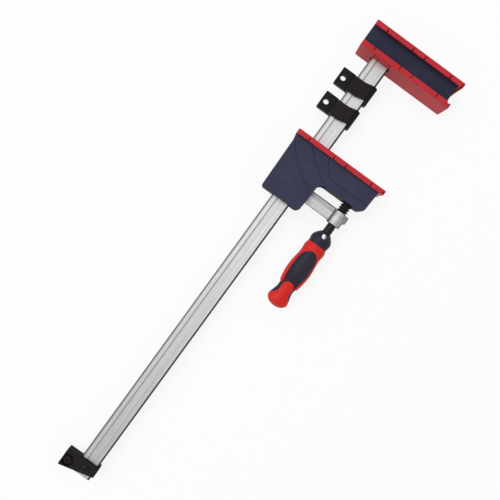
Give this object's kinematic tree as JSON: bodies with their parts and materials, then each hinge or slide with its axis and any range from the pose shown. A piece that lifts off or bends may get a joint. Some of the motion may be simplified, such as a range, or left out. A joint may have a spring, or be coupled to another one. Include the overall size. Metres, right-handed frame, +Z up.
{
  "type": "parallel clamp",
  "caption": "Parallel bar clamp: fixed jaw on a flat steel rail, sliding jaw fed by a screw spindle with a moulded handle, clip-on jaw pads, rail supports and an end stop.",
  "frame": {"origin": "under the middle of the clamp's box, on the plane that it lies on when laid on its side", "axes": "+Y along the rail towards the fixed jaw, +X from the rail towards the jaw tips, +Z up, square to the clamp's flat side"},
  "size_m": [0.1466, 0.7656, 0.04],
  "materials": {
    "galvanised_steel": "galvanised, drawn lengthwise",
    "bright_steel": "bright",
    "black_steel": "black oxide, oiled",
    "jaw_core": "as cast",
    "jaw_shell": "fine moulded grain",
    "jaw_pad": "satin",
    "black_plastic": "fine moulded grain",
    "shoe_plastic": "smooth",
    "bronze": "turned",
    "handle_core": "satin",
    "handle_grip": "soft-touch"
  },
  "bodies": {
    "bar_frame": {"rail": "galvanised_steel", "fixed_jaw_core": "jaw_core", "fixed_jaw_pins": "bright_steel", "fixed_jaw_front_shell": "jaw_shell", "fixed_jaw_back_shell": "jaw_shell", "fixed_jaw_clamp_pad": "jaw_pad", "fixed_jaw_outer_pad": "jaw_pad", "end_stop": "black_plastic", "end_stop_pin": "black_plastic"},
    "carriage": {"slide_arm": "galvanised_steel", "brake_spring": "bright_steel"},
    "moving_jaw": {"moving_jaw_core": "jaw_core", "moving_jaw_front_shell": "jaw_shell", "moving_jaw_back_shell": "jaw_shell", "moving_jaw_pad": "jaw_pad", "moving_jaw_screws": "bright_steel", "upper_guide_shoes": "shoe_plastic", "lower_guide_shoes": "shoe_plastic", "thrust_cup": "bronze", "spindle_bush": "bronze"},
    "spindle": {"spindle": "black_steel", "retaining_clip": "bright_steel", "handle_core": "handle_core", "grip_sleeve": "handle_grip", "tail_cap": "handle_grip"},
    "upper_support": {"upper_rail_support": "black_plastic"},
    "lower_support": {"lower_rail_support": "black_plastic"}
  },
  "joints": [
    {"name": "carriage_slide", "type": "slide", "parent": "bar_frame", "child": "carriage", "axis": [0, 1, 0], "range_m": [-0.452, 0.016]},
    {"name": "jaw_feed", "type": "slide", "parent": "carriage", "child": "moving_jaw", "axis": [0, 1, 0], "range_m": [-0.0121, 0.0061]},
    {"name": "spindle_turn", "type": "hinge", "parent": "moving_jaw", "child": "spindle", "pos_m": [0.04325, 0.1383, 0.02], "axis": [0, 1, 0], "range_deg": [-1080, 540]},
    {"name": "upper_support_slide", "type": "slide", "parent": "bar_frame", "child": "upper_support", "axis": [0, 1, 0], "range_m": [-0.0053, 0.0293]},
    {"name": "lower_support_slide", "type": "slide", "parent": "bar_frame", "child": "lower_support", "axis": [0, 1, 0], "range_m": [-0.016, 0.0053]}
  ],
  "couplings": [
    {"joint": "jaw_feed", "follows": "spindle_turn", "m_per_rad": 0.00063662}
  ]
}
